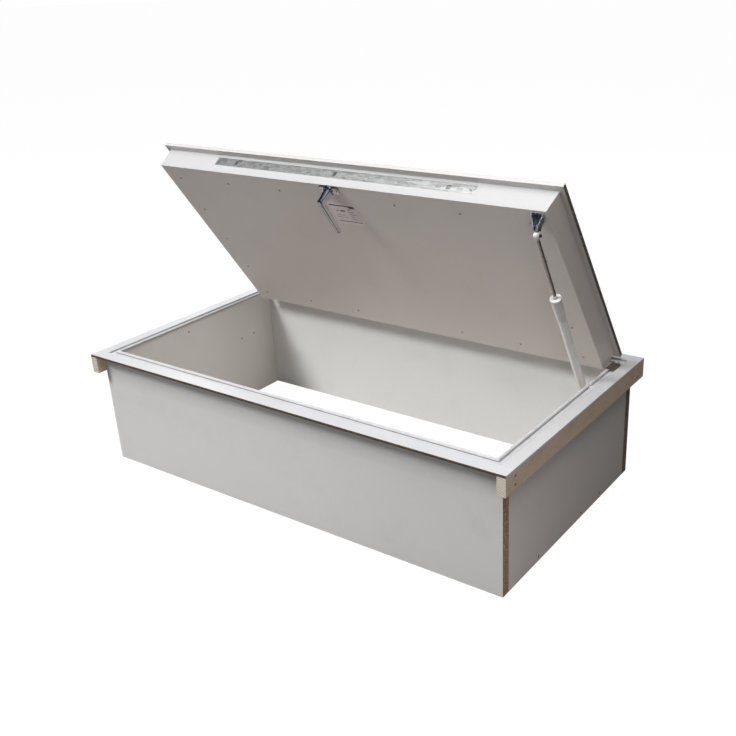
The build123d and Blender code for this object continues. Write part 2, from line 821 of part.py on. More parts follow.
# ---------------------------------------------------------------- lever handle
rosette_length = 64.0
rosette_width = 22.0
rosette_plate = 4.0
rosette_dome = 9.0
rosette_boss = 15.0
neck_root = 11.5             # radius of the lever's neck at the rosette
neck_taper = 5.5
neck_end = -98.0
grip_root = 8.0
grip_thickness = 12.0
grip_half_start = 7.5
grip_half_end = 5.5
grip_length = 99.0

with BuildPart() as handle_rosette:
    with BuildSketch(lid_level(body_under)):
        with Locations((0, handle_along)):
            SlotOverall(rosette_length, rosette_width)
    extrude(amount=-rosette_plate)
    with BuildSketch(lid_level(body_under)):
        with Locations((0, handle_along)):
            Circle(rosette_boss)
    extrude(amount=-rosette_dome, taper=10)
    with BuildSketch(lid_level(body_under)):
        with Locations((0, handle_along)):
            Circle(neck_root + 0.4)
    extrude(amount=-rosette_dome, mode=Mode.SUBTRACT)
    with BuildSketch(lid_level(body_under)):
        with Locations((-rosette_screw_x, handle_along), (rosette_screw_x, handle_along)):
            Circle(1.9)
    extrude(amount=-rosette_plate, mode=Mode.SUBTRACT)
save(handle_rosette, "handle_rosette")

rosette_screw_planes = [
    Plane(
        origin=lid_point(side * rosette_screw_x, handle_along, body_under - rosette_plate),
        x_dir=(1, 0, 0),
        z_dir=-lid_plane.z_dir,
    )
    for side in (-1, 1)
]
rosette_screws = screw_set(rosette_screw_planes, 6.6, 1.2, 3.6, 13.0)
save(rosette_screws, "rosette_screws")

with BuildPart() as handle_lever:
    with BuildSketch(lid_level(body_under - 1)):
        with Locations((0, handle_along)):
            Circle(neck_root)
    extrude(amount=neck_end - body_under + 1, taper=neck_taper)
    with BuildSketch(lid_level(neck_end)):
        with BuildLine():
            Polyline(
                (-grip_half_start, handle_along - grip_root),
                (grip_half_start, handle_along - grip_root),
                (grip_half_end, handle_along + grip_length),
                (-grip_half_end, handle_along + grip_length),
                close=True,
            )
        make_face()
        with Locations((0, handle_along + grip_length)):
            Circle(grip_half_end)
    extrude(amount=-grip_thickness)
    chamfer(handle_lever.faces().sort_by(Axis((0, 0, 0), lid_plane.z_dir))[0].edges(), 2.5)
    with BuildSketch(lid_level(neck_end)):
        with Locations((0, handle_along + 58)):
            SlotOverall(78, 6, rotation=90)
    extrude(amount=-6, mode=Mode.SUBTRACT)
    with BuildSketch(lid_level(body_under - 1)):
        with Locations((0, handle_along)):
            Rectangle(7.2, 7.2)
    extrude(amount=-34, mode=Mode.SUBTRACT)
save(handle_lever, "handle_lever")

with BuildPart() as handle_spindle:
    with BuildSketch(lid_level(-95)):
        with Locations((0, handle_along)):
            Rectangle(7, 7)
    extrude(amount=58.5)
save(handle_spindle, "handle_spindle")

with BuildPart() as lid_label:
    with BuildSketch(lid_level(body_under)):
        with Locations((7.3, body_front + 99)):
            Rectangle(84, 73)
    extrude(amount=-0.4)
save(lid_label, "lid_label")

# ---------------------------------------------------------------- gas strut, lid end
ball_point = lid_point(strut_x, *strut_ball)
root_point = lid_point(strut_x, *bracket_root)
bracket_reach = (ball_point - root_point).length
bracket_plane = Plane(
    origin=root_point,
    x_dir=(1, 0, 0),
    z_dir=Vector(1, 0, 0).cross(ball_point - root_point),
)
bracket_web = 2.5
bracket_back = 3.0
bracket_wall = 2.0
bracket_waist = 6.0
bracket_end = bracket_reach - 8.8
bracket_taper = [(-16, 15.0), (-4, 13.6), (4.5, 10.4), (15, 6.8), (bracket_end, bracket_waist)]
plate_taper = [(-595.5, 15.0), (-582, 13.6), (-568, 10.4)]
tongue_half = 2.6
tongue_radius = 4.8
tongue_length = 16.0
strut_pin_radius = 2.4
strut_ball_radius = 8.0
strut_ball_flat = 7.6
pin_head_radius = 3.9


def tapered_outline(stations, inset=0.0, middle=0.0):
    """A shape as wide on the left as on the right, given by half widths along its length."""
    right = [(middle + half - inset, along) for along, half in stations]
    left = [(middle - half + inset, along) for along, half in reversed(stations)]
    Polygon(*right, *left, align=None)


def tongue_outline(length, radius):
    """A slot round the upper pivot that reaches back towards the bracket's root."""
    towards_root = Vector(bracket_root[0] - strut_ball[0], bracket_root[1] - strut_ball[1]).normalized()
    reach = (strut_ball[0] + length * towards_root.X, strut_ball[1] + length * towards_root.Y)
    SlotCenterPoint(
        ((strut_ball[0] + reach[0]) / 2, (strut_ball[1] + reach[1]) / 2),
        reach,
        2 * radius,
    )


with BuildPart() as strut_bracket_upper:
    with BuildSketch(bracket_plane.offset(bracket_back + bracket_web)):
        tapered_outline(bracket_taper)
    extrude(amount=-32)
    with BuildSketch(bracket_plane.offset(bracket_back)):
        tapered_outline(bracket_taper + [(bracket_end + 2, bracket_waist)], bracket_wall)
    extrude(amount=-32, mode=Mode.SUBTRACT)
    with BuildSketch(lid_section(strut_x - 20)):
        with BuildLine():
            Polyline(
                (-595.5, body_under),
                (-568, body_under),
                (-545, -88),
                (-566, -94.5),
                (-570, -91),
                (-595.5, body_under - bracket_web),
                close=True,
            )
        make_face()
    extrude(amount=40, mode=Mode.INTERSECT)
    with BuildSketch(lid_level(body_under)):
        tapered_outline(plate_taper, middle=strut_x)
    extrude(amount=-bracket_web)
    with BuildSketch(lid_section(strut_x - tongue_half)):
        tongue_outline(tongue_length, tongue_radius)
    extrude(amount=2 * tongue_half)
    with BuildSketch(lid_section(strut_x - 20)):
        with Locations(strut_ball):
            Circle(strut_pin_radius)
    extrude(amount=40, mode=Mode.SUBTRACT)
    with BuildSketch(lid_level(body_under)):
        with Locations(*bracket_screws_at):
            Circle(2)
    extrude(amount=-bracket_web, mode=Mode.SUBTRACT)
save(strut_bracket_upper, "strut_bracket_upper")

with BuildPart() as strut_bracket_pin:
    with BuildSketch(lid_section(strut_x - strut_ball_flat)):
        with Locations(strut_ball):
            Circle(strut_pin_radius)
    extrude(amount=2 * strut_ball_flat)
    with BuildSketch(lid_section(strut_x - strut_ball_flat - 0.8)):
        with Locations(strut_ball):
            Circle(pin_head_radius - 0.6)
    extrude(amount=0.8)
    with BuildSketch(lid_section(strut_x + strut_ball_flat)):
        with Locations(strut_ball):
            Circle(pin_head_radius)
    extrude(amount=3)
save(strut_bracket_pin, "strut_bracket_pin")

bracket_screw_planes = [
    Plane(origin=lid_point(x, along, body_under - bracket_web), x_dir=(1, 0, 0), z_dir=-lid_plane.z_dir)
    for x, along in bracket_screws_at
]
strut_bracket_screws = screw_set(bracket_screw_planes, 6.0, 1.0, 3.8, 19.0)
save(strut_bracket_screws, "strut_bracket_screws")

# ---------------------------------------------------------------- gas strut
foot_point = Vector(*strut_foot)
strut_length = (foot_point - ball_point).length
strut_plane = Plane(origin=ball_point, x_dir=(1, 0, 0), z_dir=foot_point - ball_point)
rod_radius = 4.2
rod_start = 7.2
tube_radius = 10.5
tube_bore = 9.3
sleeve_radius = 12.6
collar_radius = 14.0
sleeve_top = 191.0
sleeve_bottom = 262.0
tube_top = 244.0
tube_bottom = strut_length - 22
rod_end = 330.0


with BuildPart() as strut_socket_upper:
    with BuildSketch(Plane(origin=ball_point, x_dir=(1, 0, 0), z_dir=(-strut_plane.y_dir))):
        with BuildLine():
            CenterArc((0, 0), strut_ball_radius, 90, -180)
            Line((0, -strut_ball_radius), (0, strut_ball_radius))
        make_face()
    revolve(axis=Axis(ball_point, strut_plane.z_dir))
    with BuildSketch(strut_plane):
        Circle(5.6)
    extrude(amount=10.5)
    with BuildSketch(strut_plane.offset(-12)):
        Rectangle(2 * strut_ball_flat, 30)
    extrude(amount=40, mode=Mode.INTERSECT)
    with BuildSketch(lid_section(strut_x - tongue_half - 0.3)):
        tongue_outline(tongue_length, tongue_radius + 1.1)
    extrude(amount=2 * tongue_half + 0.6, mode=Mode.SUBTRACT)
    with BuildSketch(lid_section(strut_x - 20)):
        with Locations(strut_ball):
            Circle(strut_pin_radius + 0.08)
    extrude(amount=40, mode=Mode.SUBTRACT)
    with BuildSketch(strut_plane.offset(rod_start)):
        Circle(rod_radius)
    extrude(amount=10, mode=Mode.SUBTRACT)
save(strut_socket_upper, "strut_socket_upper")

with BuildPart() as strut_rod:
    with BuildSketch(strut_plane.offset(rod_start)):
        Circle(rod_radius)
    extrude(amount=rod_end - rod_start)
    with BuildSketch(strut_plane.offset(rod_end - 12)):
        Circle(tube_bore - 0.4)
    extrude(amount=12)
save(strut_rod, "strut_rod")

with BuildPart() as strut_tube:
    with BuildSketch(strut_plane.offset(tube_top)):
        Circle(tube_radius)
    extrude(amount=tube_bottom - tube_top)
    with BuildSketch(strut_plane.offset(tube_top + 10)):
        Circle(tube_bore)
    extrude(amount=tube_bottom - tube_top - 20, mode=Mode.SUBTRACT)
    with BuildSketch(strut_plane.offset(tube_top)):
        Circle(rod_radius + 0.4)
    extrude(amount=11, mode=Mode.SUBTRACT)
save(strut_tube, "strut_tube")

with BuildPart() as strut_sleeve:
    with BuildSketch(strut_plane.offset(sleeve_top)):
        Circle(sleeve_radius)
    extrude(amount=sleeve_bottom - sleeve_top)
    with BuildSketch(strut_plane.offset(sleeve_top)):
        Circle(collar_radius)
    extrude(amount=6)
    with BuildSketch(strut_plane.offset(sleeve_top + 4)):
        Circle(tube_radius)
    extrude(amount=sleeve_bottom - sleeve_top, mode=Mode.SUBTRACT)
    with BuildSketch(strut_plane.offset(sleeve_top)):
        Circle(rod_radius + 0.6)
    extrude(amount=5, mode=Mode.SUBTRACT)
save(strut_sleeve, "strut_sleeve")

stud_radius = 4.0
stud_tip = 11.5
foot_ball = 10.0

with BuildPart() as strut_socket_lower:
    with BuildSketch(strut_plane.offset(tube_bottom)):
        Circle(8)
    extrude(amount=strut_length - tube_bottom)
    with BuildSketch(Plane(origin=foot_point, x_dir=(0, 1, 0), z_dir=(1, 0, 0))):
        Circle(foot_ball)
    extrude(amount=8, both=True)
    with BuildSketch(Plane(origin=foot_point, x_dir=(0, 1, 0), z_dir=(1, 0, 0))):
        Circle(stud_radius)
    extrude(amount=12, both=True, mode=Mode.SUBTRACT)
save(strut_socket_lower, "strut_socket_lower")

with BuildPart() as strut_ball_stud:
    with BuildSketch(Plane(origin=foot_point + Vector(-8, 0, 0), x_dir=(0, 1, 0), z_dir=(1, 0, 0))):
        Circle(stud_radius)
    extrude(amount=8 + stud_tip)
save(strut_ball_stud, "strut_ball_stud")

foot_plate = 3.0
foot_boss_radius = 8.0
foot_boss_start = strut_x + stud_tip + 0.5
right_inner = Plane(origin=(inner_x, 0, 0), x_dir=(0, -1, 0), z_dir=(-1, 0, 0))

with BuildPart() as strut_bracket_lower:
    with BuildSketch(right_inner):
        box_sketch((-256, 160), (-150, 212))
    extrude(amount=foot_plate)
    with BuildSketch(right_inner):
        with Locations((-strut_foot[1], strut_foot[2])):
            Circle(foot_boss_radius)
    extrude(amount=inner_x - foot_boss_start)
    with BuildSketch(right_inner):
        with Locations(*[(-y, z) for y, z in foot_screws]):
            Circle(2.2)
    extrude(amount=foot_plate, mode=Mode.SUBTRACT)
save(strut_bracket_lower, "strut_bracket_lower")

foot_screw_planes = [
    Plane(origin=(inner_x - foot_plate, y, z), x_dir=(0, -1, 0), z_dir=(-1, 0, 0)) for y, z in foot_screws
]
strut_foot_screws = screw_set(foot_screw_planes, 8.0, 1.8, 4.2, 14.0)
save(strut_foot_screws, "strut_foot_screws")
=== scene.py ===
"""Looks of the roof access hatch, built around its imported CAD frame."""

import math

import bmesh
import bpy
from mathutils import Matrix, Vector


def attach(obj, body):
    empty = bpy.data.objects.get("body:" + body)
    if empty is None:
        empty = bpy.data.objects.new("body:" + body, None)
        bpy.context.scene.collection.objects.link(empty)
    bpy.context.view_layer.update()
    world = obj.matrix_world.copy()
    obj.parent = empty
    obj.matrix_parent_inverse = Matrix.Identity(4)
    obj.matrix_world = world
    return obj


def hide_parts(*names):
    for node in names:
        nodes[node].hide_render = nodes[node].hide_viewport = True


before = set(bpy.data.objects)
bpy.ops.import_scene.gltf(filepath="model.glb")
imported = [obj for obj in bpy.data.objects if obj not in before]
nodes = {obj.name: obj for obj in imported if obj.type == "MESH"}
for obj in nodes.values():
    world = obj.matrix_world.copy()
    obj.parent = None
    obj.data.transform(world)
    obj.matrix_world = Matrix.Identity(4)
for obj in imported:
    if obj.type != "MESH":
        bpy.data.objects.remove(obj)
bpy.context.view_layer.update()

# ---------------------------------------------------------------- places
# Metres in the part's frame, with the lid open as it rests.
BOX_HALF_LENGTH = 0.625
BOARD_HALF_WIDTH = 0.353
COVER_HALF_LENGTH = 0.600
PANEL_TOP = 0.314
OPEN_ANGLE = math.radians(55.4)
HINGE = Vector((0, 0.3165, 0.3267))
ALONG = Vector((0, math.cos(OPEN_ANGLE), -math.sin(OPEN_ANGLE)))
ABOVE = Vector((0, math.sin(OPEN_ANGLE), math.cos(OPEN_ANGLE)))
ACROSS = Vector((1, 0, 0))


def lid_point(u, v, w):
    """A place in the lid's own axes, given in millimetres."""
    return HINGE + ACROSS * (u / 1000) + ALONG * (v / 1000) + ABOVE * (w / 1000)


# ---------------------------------------------------------------- node helpers
class Shader:
    """A material under construction."""

    def __init__(self, name):
        self.material = bpy.data.materials.new(name)
        self.material.use_nodes = True
        self.tree = self.material.node_tree
        self.tree.nodes.clear()
        self.out = self.tree.nodes.new("ShaderNodeOutputMaterial")
        self.bsdf = self.tree.nodes.new("ShaderNodeBsdfPrincipled")
        self.link(self.bsdf.outputs[0], self.out.inputs[0])
        self.place = self.tree.nodes.new("ShaderNodeTexCoord").outputs["Object"]

    def link(self, a, b):
        self.tree.links.new(a, b)

    def feed(self, socket, value):
        """Sets an input to a number or colour, or links it."""
        if isinstance(value, bpy.types.NodeSocket):
            self.link(value, socket)
        elif isinstance(value, (tuple, list)) and len(value) == 3 and len(socket.default_value) == 4:
            socket.default_value = (*value, 1)
        else:
            socket.default_value = value

    def stretched(self, scale, move=(0, 0, 0)):
        node = self.tree.nodes.new("ShaderNodeMapping")
        self.link(self.place, node.inputs["Vector"])
        node.inputs["Scale"].default_value = scale
        node.inputs["Location"].default_value = move
        return node.outputs[0]

    def noise(self, scale, detail=3.0, rough=0.55, vector=None):
        node = self.tree.nodes.new("ShaderNodeTexNoise")
        self.link(vector or self.place, node.inputs["Vector"])
        node.inputs["Scale"].default_value = scale
        node.inputs["Detail"].default_value = detail
        node.inputs["Roughness"].default_value = rough
        return node.outputs["Fac"]

    def cells(self, scale, vector=None):
        node = self.tree.nodes.new("ShaderNodeTexVoronoi")
        self.link(vector or self.place, node.inputs["Vector"])
        node.inputs["Scale"].default_value = scale
        return node.outputs["Color"]

    def ramp(self, value, stops):
        node = self.tree.nodes.new("ShaderNodeValToRGB")
        self.feed(node.inputs[0], value)
        while len(node.color_ramp.elements) < len(stops):
            node.color_ramp.elements.new(0.5)
        for element, (position, colour) in zip(node.color_ramp.elements, stops):
            element.position = position
            if isinstance(colour, (int, float)):
                colour = (colour, colour, colour)
            element.color = (*colour, 1)
        return node.outputs[0]

    def math(self, operation, a, b=0.0, clamp=False):
        node = self.tree.nodes.new("ShaderNodeMath")
        node.operation = operation
        node.use_clamp = clamp
        self.feed(node.inputs[0], a)
        self.feed(node.inputs[1], b)
        return node.outputs[0]

    def mix(self, factor, a, b, blend="MIX"):
        node = self.tree.nodes.new("ShaderNodeMix")
        node.data_type = "RGBA"
        node.blend_type = blend
        self.feed(node.inputs[0], factor)
        self.feed(node.inputs[6], a)
        self.feed(node.inputs[7], b)
        return node.outputs[2]

    def split(self, vector=None):
        node = self.tree.nodes.new("ShaderNodeSeparateXYZ")
        self.link(vector or self.place, node.inputs[0])
        return node.outputs

    def radius(self, scale):
        """Distance from the middle, times scale."""
        node = self.tree.nodes.new("ShaderNodeVectorMath")
        node.operation = "LENGTH"
        self.link(self.place, node.inputs[0])
        return self.math("MULTIPLY", node.outputs["Value"], scale)

    def facing(self, direction):
        """How squarely the surface faces a direction of the part's frame, in the piece's rest place."""
        texture = self.tree.nodes.new("ShaderNodeTexCoord")
        dot = self.tree.nodes.new("ShaderNodeVectorMath")
        dot.operation = "DOT_PRODUCT"
        self.link(texture.outputs["Normal"], dot.inputs[0])
        dot.inputs[1].default_value = direction
        return dot.outputs["Value"]

    def rounded(self, radius):
        node = self.tree.nodes.new("ShaderNodeBevel")
        node.samples = 6
        node.inputs["Radius"].default_value = radius
        return node.outputs[0]

    def edges(self, radius):
        """1 along the piece's edges, 0 on its faces."""
        geometry = self.tree.nodes.new("ShaderNodeNewGeometry")
        dot = self.tree.nodes.new("ShaderNodeVectorMath")
        dot.operation = "DOT_PRODUCT"
        self.link(self.rounded(radius), dot.inputs[0])
        self.link(geometry.outputs["Normal"], dot.inputs[1])
        flat = 0.985
        return self.ramp(dot.outputs["Value"], [(flat - 0.12, 1.0), (flat, 0.0)])

    def bump(self, height, strength, distance, normal=None):
        node = self.tree.nodes.new("ShaderNodeBump")
        self.feed(node.inputs["Height"], height)
        node.inputs["Strength"].default_value = strength
        node.inputs["Distance"].default_value = distance
        if normal is not None:
            self.link(normal, node.inputs["Normal"])
        return node.outputs[0]

    def finish(self, colour, roughness, normal=None, metallic=0.0, **values):
        self.feed(self.bsdf.inputs["Base Color"], colour)
        self.feed(self.bsdf.inputs["Roughness"], roughness)
        self.bsdf.inputs["Metallic"].default_value = metallic
        for key, value in values.items():
            self.bsdf.inputs[key.replace("_", " ")].default_value = value
        if normal is not None:
            self.link(normal, self.bsdf.inputs["Normal"])
        return self.material


# ---------------------------------------------------------------- materials
PAINT_BEVEL = 0.0006
# The paler, warmer tint painted on the lid's sides and side rails to match the light on them.
LID_SIDE_TINT = (0.74, 0.675, 0.635)
# The dark tone of painted reflections in polished metal.
PAINTED_REFLECTION_DARK = (0.045, 0.05, 0.075)
# The side panels' bare chips, in their holes and along their edges, darkened nearly to black: painted shade
# in these recesses.
CORE_CHIPS_IN_SHADE = (0.08, 0.07, 0.06)
# The chips of a side panel, seen in its holes: their middle under its face, half their thickness.
CORE_MIDDLE, CORE_HALF = 0.0121, 0.0119
# Painted shade on the panels' top edges, down in the groove under the rim boards.
PANEL_TOP_SHADE = ("z", PANEL_TOP - 0.0008, PANEL_TOP - 0.0002, 1.0, 0.55)


def raw_ends(axis, reach, skin):
    """Both ends of a board that reaches this far along an axis, less its painted skin."""
    return [(axis, reach - skin), (axis, skin - reach)]


def chipboard_colour(s):
    """Pressed chips: short flecks from straw to brown."""
    flakes = s.cells(420.0, vector=s.stretched((1, 1, 2.2)))
    tone = s.math("ADD", s.math("MULTIPLY", s.noise(160.0, 4.0), 0.6), s.math("MULTIPLY", flakes, 0.4))
    return s.ramp(tone, [
        (0.25, (0.12, 0.07, 0.04)),
        (0.48, (0.33, 0.22, 0.14)),
        (0.75, (0.58, 0.44, 0.30)),
    ])


def paint(name, tint, rough, shade=0.93, speckle=0.972, raw=(), chips=(1.0, 1.0, 1.0), faces=(),
          painted_shading=()):
    """Factory-painted board: faint roller texture, handling marks, softened edges.

    raw lists (axis, limit) pairs: beyond each limit the board's chips show.
    "inside" shows them between the two faces of a side panel instead.
    faces lists (direction, tint): sides facing that way take another tint, painted to match the light on
    them;
    painted_shading lists (axis, start, end, factor at start, factor at end): painted shade and light
    falling off along an axis.
    """
    s = Shader(name)
    cloud = s.noise(2.3, 3.0)
    speck = s.noise(310.0, 2.0)
    smudge = s.ramp(s.noise(7.0, 5.0, 0.62), [(0.52, 1.0), (0.8, shade)])
    colour = s.mix(cloud, tuple(c * 0.975 for c in tint), tuple(min(1.0, c * 1.02) for c in tint))
    colour = s.mix(1.0, colour, smudge, "MULTIPLY")
    colour = s.mix(1.0, colour, s.ramp(speck, [(0.3, speckle), (0.55, 1.0)]), "MULTIPLY")
    # Sides facing a direction take a tint painted for the light on them.
    for direction, other in faces:
        colour = s.mix(s.math("GREATER_THAN", s.facing(direction), 0.6), colour, other)
    # Painted shade and light falling off along an axis.
    for axis, start, end, low, high in painted_shading:
        place = s.split()["xyz".index(axis)]
        along = s.math("DIVIDE", s.math("ADD", place, -start), end - start, clamp=True)
        colour = s.mix(1.0, colour, s.ramp(along, [(0.0, low), (1.0, high)]), "MULTIPLY")
    worn = s.edges(PAINT_BEVEL)
    colour = s.mix(s.math("MULTIPLY", worn, 0.5), colour, tuple(c * 0.9 for c in tint))
    roughness = s.ramp(s.noise(11.0, 4.0), [(0.3, rough - 0.05), (0.75, rough + 0.09)])
    height = s.math("ADD", s.noise(520.0, 2.0), s.math("MULTIPLY", s.noise(60.0, 2.0), 0.5))
    if raw:
        places = dict(zip("xyz", s.split()))
        mask = 0.0
        for axis, limit in raw:
            if axis == "inside":
                outward = s.math("ABSOLUTE", places["x"])
                off = s.math("ABSOLUTE", s.math("ADD", outward, CORE_MIDDLE - limit))
                bare = s.math("LESS_THAN", off, CORE_HALF)
            else:
                beyond = "GREATER_THAN" if limit > 0 else "LESS_THAN"
                bare = s.math(beyond, places[axis], limit)
            mask = s.math("MAXIMUM", mask, bare)
        board = s.mix(1.0, chipboard_colour(s), chips, "MULTIPLY")
        colour = s.mix(mask, colour, board)
        roughness = s.mix(mask, roughness, (0.85, 0.85, 0.85))
        height = s.mix(mask, height, s.math("MULTIPLY", s.noise(230.0, 4.0), 6.0))
    normal = s.bump(height, 0.16, 0.0004, s.rounded(PAINT_BEVEL))
    return s.finish(colour, roughness, normal)


def pine(name):
    """Sawn pine with growth rings on the ends and lines along the faces."""
    s = Shader(name)
    ringed = s.stretched((1.0, 0.055, 1.0), move=(0.013, 0.0, 0.021))
    x, y, z = s.split()
    sway = s.math("MULTIPLY", s.noise(9.0, 2.0, vector=ringed), 0.02)
    radial = s.math(
        "SQRT",
        s.math(
            "ADD",
            s.math("POWER", s.math("ADD", s.math("ABSOLUTE", x), -0.622), 2.0),
            s.math("POWER", s.math("ADD", z, -0.235), 2.0),
        ),
    )
    rings = s.math("SINE", s.math("MULTIPLY", s.math("ADD", radial, sway), 1150.0))
    fibre = s.noise(900.0, 4.0, 0.6, vector=ringed)
    tone = s.math("ADD", s.math("MULTIPLY", rings, 0.16), s.math("MULTIPLY", fibre, 0.9))
    colour = s.ramp(tone, [
        (0.18, (0.53, 0.385, 0.27)),
        (0.5, (0.70, 0.55, 0.41)),
        (0.85, (0.82, 0.68, 0.53)),
    ])
    ends = s.math("GREATER_THAN", s.math("ABSOLUTE", y), BOARD_HALF_WIDTH - 0.0002)
    pale = s.ramp(s.math("ADD", s.math("MULTIPLY", rings, 0.2), s.noise(400.0, 3.0)),
                  [(0.2, (0.56, 0.48, 0.39)), (0.8, (0.84, 0.76, 0.66))])
    colour = s.mix(ends, colour, pale)
    dirt = s.ramp(s.noise(14.0, 4.0), [(0.5, 1.0), (0.85, 0.8)])
    colour = s.mix(1.0, colour, dirt, "MULTIPLY")
    normal = s.bump(tone, 0.35, 0.0005, s.rounded(0.0008))
    return s.finish(colour, s.ramp(fibre, [(0.2, 0.62), (0.8, 0.82)]), normal)


def galvanised(name, tint=(0.62, 0.64, 0.64), stretch=(1.0, 1.0, 1.0), spangle=95.0, rough=0.34,
               rim=0.0005, rim_metal=0.9):
    """Hot-dip zinc sheet: crystals of different tone and a few rolling streaks.

    rim is the width of its pale edge, rim_metal how metallic that edge looks: worn zinc where it is narrow
    and metallic, a painted highlight where it is wide and not metallic.
    """
    s = Shader(name)
    spread = s.stretched(stretch)
    crystal = s.cells(spangle, vector=spread)
    fine = s.noise(700.0, 3.0)
    streak = s.noise(34.0, 5.0, 0.7, vector=s.stretched((0.25, 3.0, 3.0)))
    tone = s.math("ADD", s.math("MULTIPLY", crystal, 0.55), s.math("MULTIPLY", streak, 0.55))
    dark = tuple(c * 0.50 for c in tint)
    light = tuple(min(1.0, c * 1.35) for c in tint)
    colour = s.ramp(tone, [(0.22, dark), (0.55, tint), (0.85, light)])
    worn = s.edges(rim)
    colour = s.mix(s.math("MULTIPLY", worn, 0.85), colour, (0.94, 0.94, 0.94))
    roughness = s.ramp(tone, [(0.2, rough + 0.16), (0.8, rough - 0.06)])
    normal = s.bump(s.math("ADD", s.math("MULTIPLY", crystal, 0.5), fine), 0.12, 0.0003, s.rounded(0.0005))
    s.link(s.ramp(worn, [(0.0, 0.92), (1.0, rim_metal)]), s.bsdf.inputs["Metallic"])
    return s.finish(colour, roughness, normal)


def bright_metal(name, tint, rough, grain=(1.0, 1.0, 1.0), dark=()):
    """Plated or polished steel with fine handling scratches.

    dark lists (direction, stops): painted dark reflections where the piece faces that way,
    or, for "width", in lines along the piece at these distances (cm) from its middle.
    """
    s = Shader(name)
    lines = s.noise(900.0, 3.0, 0.6, vector=s.stretched(grain))
    spots = s.noise(60.0, 4.0, 0.6)
    colour = s.mix(s.ramp(spots, [(0.45, 0.0), (0.8, 1.0)]), tint, tuple(c * 0.82 for c in tint))
    for direction, stops in dark:
        if direction == "width":
            place = s.math("MULTIPLY", s.split()[0], 100.0)
        else:
            place = s.facing(direction)
        colour = s.mix(s.ramp(s.math("ABSOLUTE", place), stops), colour, PAINTED_REFLECTION_DARK)
    roughness = s.ramp(s.math("ADD", s.math("MULTIPLY", lines, 0.5), s.math("MULTIPLY", spots, 0.5)),
                       [(0.3, rough), (0.8, rough + 0.05)])
    normal = s.bump(lines, 0.05, 0.0002, s.rounded(0.0006))
    return s.finish(colour, roughness, normal, metallic=1.0)


def plastic(name, tint, rough):
    """Moulded plastic or enamel with a very light skin texture."""
    s = Shader(name)
    mottle = s.noise(26.0, 4.0)
    colour = s.mix(mottle, tuple(c * 0.95 for c in tint), tuple(min(1.0, c * 1.03) for c in tint))
    scuff = s.ramp(s.noise(85.0, 5.0, 0.7), [(0.58, 1.0), (0.78, 0.9)])
    colour = s.mix(1.0, colour, scuff, "MULTIPLY")
    roughness = s.ramp(mottle, [(0.3, rough - 0.04), (0.8, rough + 0.1)])
    normal = s.bump(s.noise(800.0, 2.0), 0.05, 0.0003, s.rounded(0.0005))
    return s.finish(colour, roughness, normal, Coat_Weight=0.15, Coat_Roughness=0.2)


def rubber(name, tint):
    """Gasket rubber: soft sheen, dust along its length, and painted shade in the corner above its foot."""
    s = Shader(name)
    dust = s.noise(46.0, 5.0, 0.6)
    colour = s.ramp(dust, [(0.3, tuple(c * 0.86 for c in tint)), (0.62, tint)])
    # Painted shade on the bulb's lower side and its foot, where the groove shades them.
    height = s.math("DIVIDE", s.math("ADD", s.split()[2], -PANEL_TOP - 0.002), 0.004, clamp=True)
    shade = s.ramp(height, [(0.075, 0.95), (0.12, 0.22), (0.36, 0.3), (0.62, 1.0)])
    colour = s.mix(1.0, colour, shade, "MULTIPLY")
    normal = s.bump(s.noise(420.0, 3.0), 0.12, 0.0003)
    return s.finish(colour, s.ramp(dust, [(0.3, 0.42), (0.8, 0.62)]), normal, Sheen_Weight=0.1)


def foam(name, tint):
    """Fibre insulation board."""
    s = Shader(name)
    tone = s.noise(300.0, 5.0, 0.7)
    colour = s.ramp(tone, [(0.3, tuple(c * 0.7 for c in tint)), (0.7, tint)])
    return s.finish(colour, 0.9, s.bump(tone, 0.6, 0.001))


def printed_label(name):
    """A pale sticker with a red rule and grey bars in place of its print."""
    s = Shader(name)
    turn = s.tree.nodes.new("ShaderNodeVectorRotate")
    turn.rotation_type = "X_AXIS"
    s.link(s.place, turn.inputs["Vector"])
    turn.inputs["Center"].default_value = HINGE
    turn.inputs["Angle"].default_value = OPEN_ANGLE
    u, v, _ = s.split(turn.outputs[0])
    base = s.ramp(s.noise(38.0, 4.0), [(0.3, (0.84, 0.75, 0.74)), (0.7, (0.92, 0.82, 0.81))])
    lid_body_front, label_start = 0.5997, 0.0625
    front = HINGE.y - lid_body_front + label_start

    def bar(colour_below, low_u, high_u, low_v, high_v, ink):
        inside = 1.0
        for place, low, high in ((u, low_u, high_u), (v, front + low_v, front + high_v)):
            inside = s.math("MULTIPLY", inside, s.math("GREATER_THAN", place, low))
            inside = s.math("MULTIPLY", inside, s.math("LESS_THAN", place, high))
        return s.mix(s.math("MULTIPLY", inside, 0.92), colour_below, ink)

    red = (0.03, 0.004, 0.008)
    grey = (0.12, 0.09, 0.10)
    colour = bar(base, -0.0335, 0.0330, 0.0055, 0.0095, red)
    colour = bar(colour, 0.0260, 0.0440, 0.0060, 0.0140, red)
    colour = bar(colour, -0.0180, -0.0120, 0.0240, 0.0280, grey)
    colour = bar(colour, -0.0070, 0.0080, 0.0230, 0.0290, grey)
    for row in range(5):
        low = 0.0180 + 0.0085 * row
        colour = bar(colour, 0.0170, 0.0300 + 0.004 * (row % 3), low, low + 0.0026, (0.33, 0.29, 0.29))
    for row in range(2):
        low = 0.0400 + 0.0080 * row
        colour = bar(colour, -0.0260, 0.0020 + 0.006 * row, low, low + 0.0022, (0.36, 0.33, 0.33))
    colour = bar(colour, -0.0280, 0.0440, 0.0625, 0.0650, red)
    normal = s.bump(s.noise(500.0, 2.0), 0.06, 0.0002)
    return s.finish(colour, s.ramp(s.noise(70.0), [(0.3, 0.32), (0.7, 0.42)]), normal)


